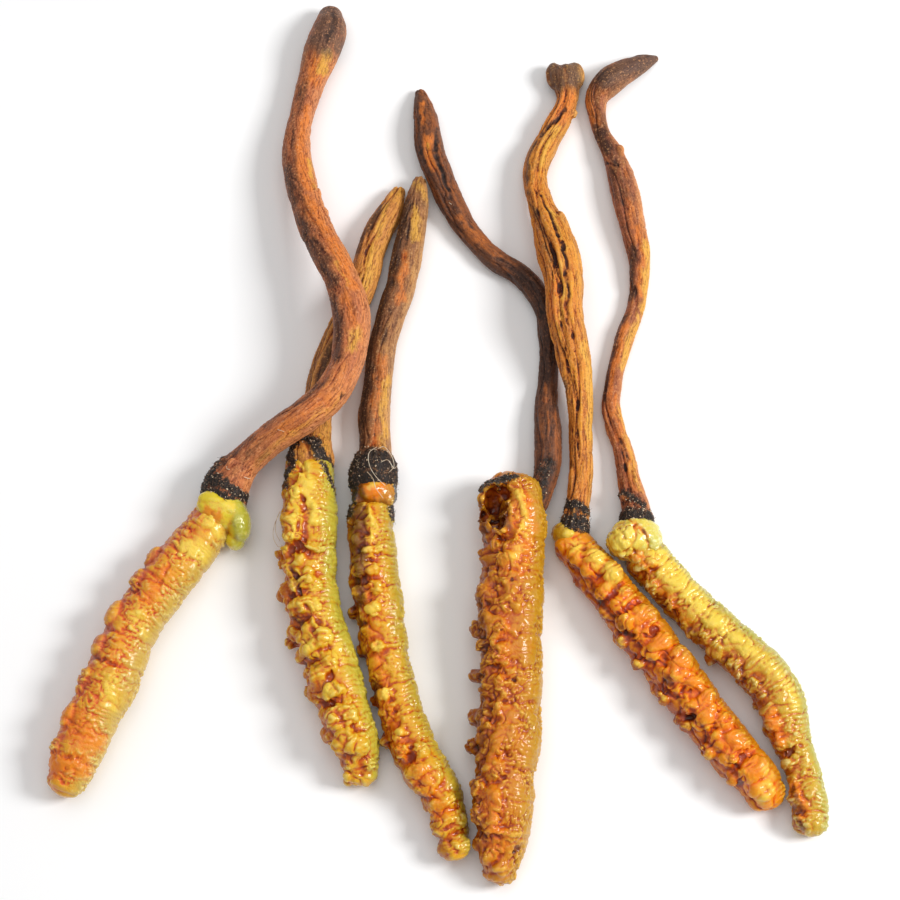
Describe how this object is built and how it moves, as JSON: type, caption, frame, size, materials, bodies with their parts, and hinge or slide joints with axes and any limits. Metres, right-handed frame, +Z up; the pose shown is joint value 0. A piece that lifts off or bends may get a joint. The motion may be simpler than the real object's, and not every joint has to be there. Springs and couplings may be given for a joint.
{
  "type": "cordyceps bundle",
  "caption": "Dried larva-and-fungus specimens lying side by side, each a ringed mummified larva with a long slender fungus stalk grown from its head.",
  "frame": {"origin": "on the table, under the middle of the bundle's outline", "axes": "+Y from the larvae's tails to the tips of the stalks, +X to the right in the usual view, +Z up from the table"},
  "size_m": [0.0824, 0.0997, 0.008],
  "materials": {
    "larva_skin": "dry wrinkled skin with a waxy gleam",
    "head_capsule": "glossy amber shell",
    "stalk_flesh": "dry, furrowed lengthwise",
    "dark_stalk": "dry, dark, furrowed lengthwise",
    "soil_crust": "matt grains of soil and felt",
    "white_thread": "fine dry threads"
  },
  "bodies": {
    "root": {"body_1": "larva_skin", "body_2": "larva_skin", "body_3": "larva_skin", "body_4": "larva_skin", "body_5": "larva_skin", "body_6": "larva_skin", "head_1": "head_capsule", "head_3": "head_capsule", "head_5": "head_capsule", "head_6": "head_capsule", "stalk_1": "stalk_flesh", "stalk_2": "stalk_flesh", "stalk_3": "stalk_flesh", "stalk_4": "dark_stalk", "stalk_5": "stalk_flesh", "stalk_6": "stalk_flesh"}
  },
  "joints": []
}
